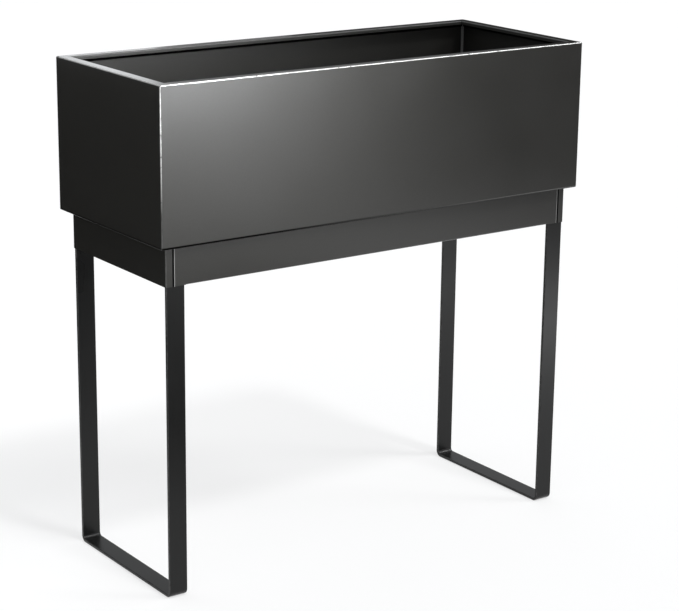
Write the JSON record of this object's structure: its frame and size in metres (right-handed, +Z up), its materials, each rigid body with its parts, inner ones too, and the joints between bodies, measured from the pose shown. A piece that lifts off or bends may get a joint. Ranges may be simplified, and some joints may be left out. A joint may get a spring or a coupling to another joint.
{
  "type": "raised planter box",
  "caption": "Rectangular folded-steel planter box that rests on a steel stand with U-shaped flat-bar legs; the box lifts off and rubber plugs close the drain holes in its floor.",
  "frame": {"origin": "on the floor, under the middle of the planter", "axes": "+X along the length, +Y from the front to the back, +Z up"},
  "size_m": [0.7112, 0.2794, 0.7112],
  "materials": {
    "box_coating": "satin near-black powder coat on sheet steel",
    "apron_coating": "satin near-black powder coat on sheet steel",
    "leg_coating": "satin near-black powder coat on flat bar",
    "fastener_zinc": "bright zinc plate",
    "plug_rubber": "matt black moulded rubber"
  },
  "bodies": {
    "stand": {"leg_left": "leg_coating", "leg_right": "leg_coating", "end_panel_left": "apron_coating", "end_panel_right": "apron_coating", "rail_front": "apron_coating", "rail_back": "apron_coating", "rail_studs_front": "fastener_zinc", "rail_studs_back": "fastener_zinc", "rail_washers_front": "fastener_zinc", "rail_washers_back": "fastener_zinc", "rail_nuts_front": "fastener_zinc", "rail_nuts_back": "fastener_zinc"},
    "planter_box": {"box_wrap": "box_coating", "box_back": "box_coating", "box_floor": "box_coating"},
    "plug_left": {"drain_plug_left": "plug_rubber"},
    "plug_middle": {"drain_plug_middle": "plug_rubber"},
    "plug_right": {"drain_plug_right": "plug_rubber"}
  },
  "joints": [
    {"name": "box_lift", "type": "slide", "parent": "stand", "child": "planter_box", "axis": [0, 0, 1], "range_m": [0, 0.15]},
    {"name": "plug_left_pull", "type": "slide", "parent": "planter_box", "child": "plug_left", "axis": [0, 0, 1], "range_m": [0, 0.06]},
    {"name": "plug_middle_pull", "type": "slide", "parent": "planter_box", "child": "plug_middle", "axis": [0, 0, 1], "range_m": [0, 0.06]},
    {"name": "plug_right_pull", "type": "slide", "parent": "planter_box", "child": "plug_right", "axis": [0, 0, 1], "range_m": [0, 0.06]}
  ]
}
